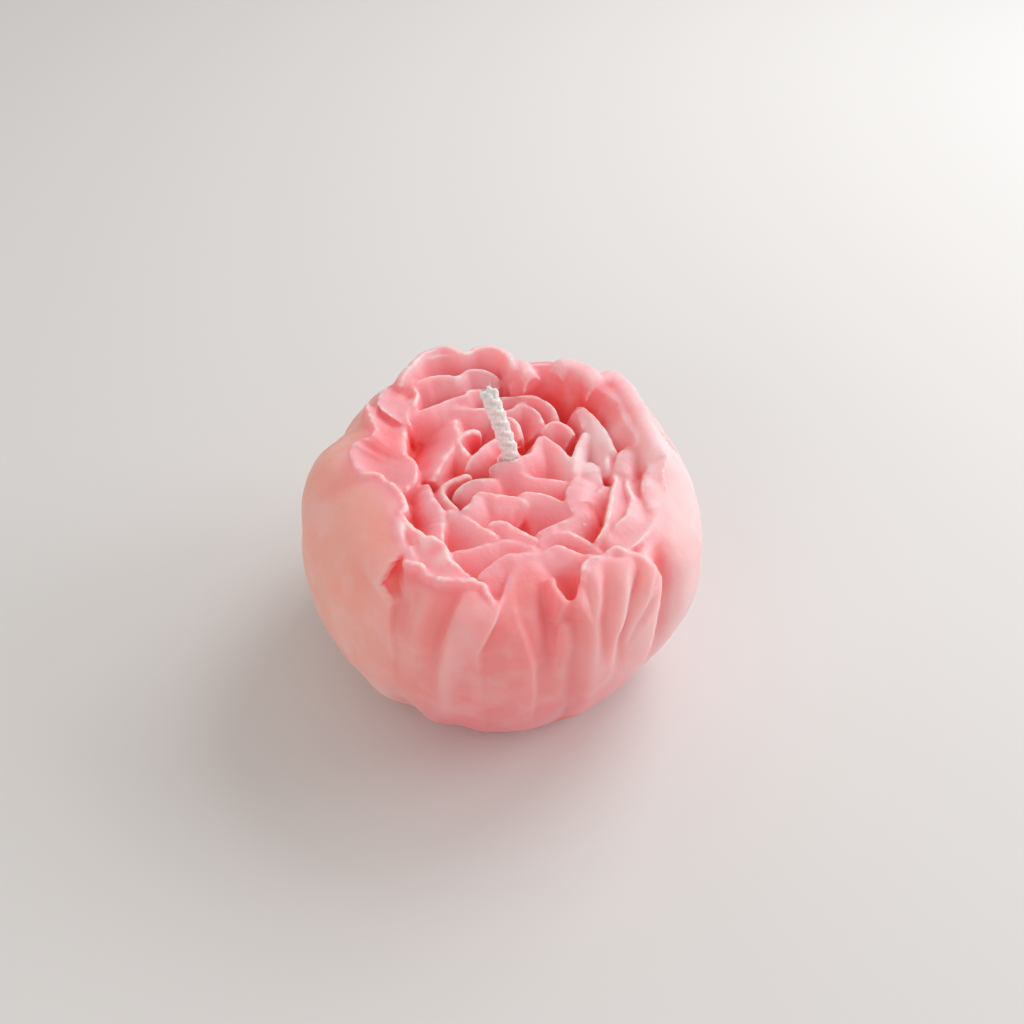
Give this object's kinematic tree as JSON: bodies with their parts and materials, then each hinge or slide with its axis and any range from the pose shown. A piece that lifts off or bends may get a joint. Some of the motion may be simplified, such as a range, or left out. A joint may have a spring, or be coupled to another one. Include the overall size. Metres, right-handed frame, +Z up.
{
  "type": "peony-shaped wax candle",
  "caption": "Peony bloom cast in pink wax with a flat poured base, folded outer petals and a short braided cotton wick standing in its middle",
  "frame": {"origin": "on the surface that the base stands on, under the middle of the bounding box", "axes": "+Z up along the bloom's own axis, +X to the right and +Y to the back of the bloom as pictured"},
  "size_m": [0.0664, 0.0676, 0.0524],
  "materials": {
    "wax": "satin translucent wax",
    "cotton": "braided, matte"
  },
  "bodies": {
    "root": {"wax_body": "wax", "wick": "cotton"}
  },
  "joints": []
}
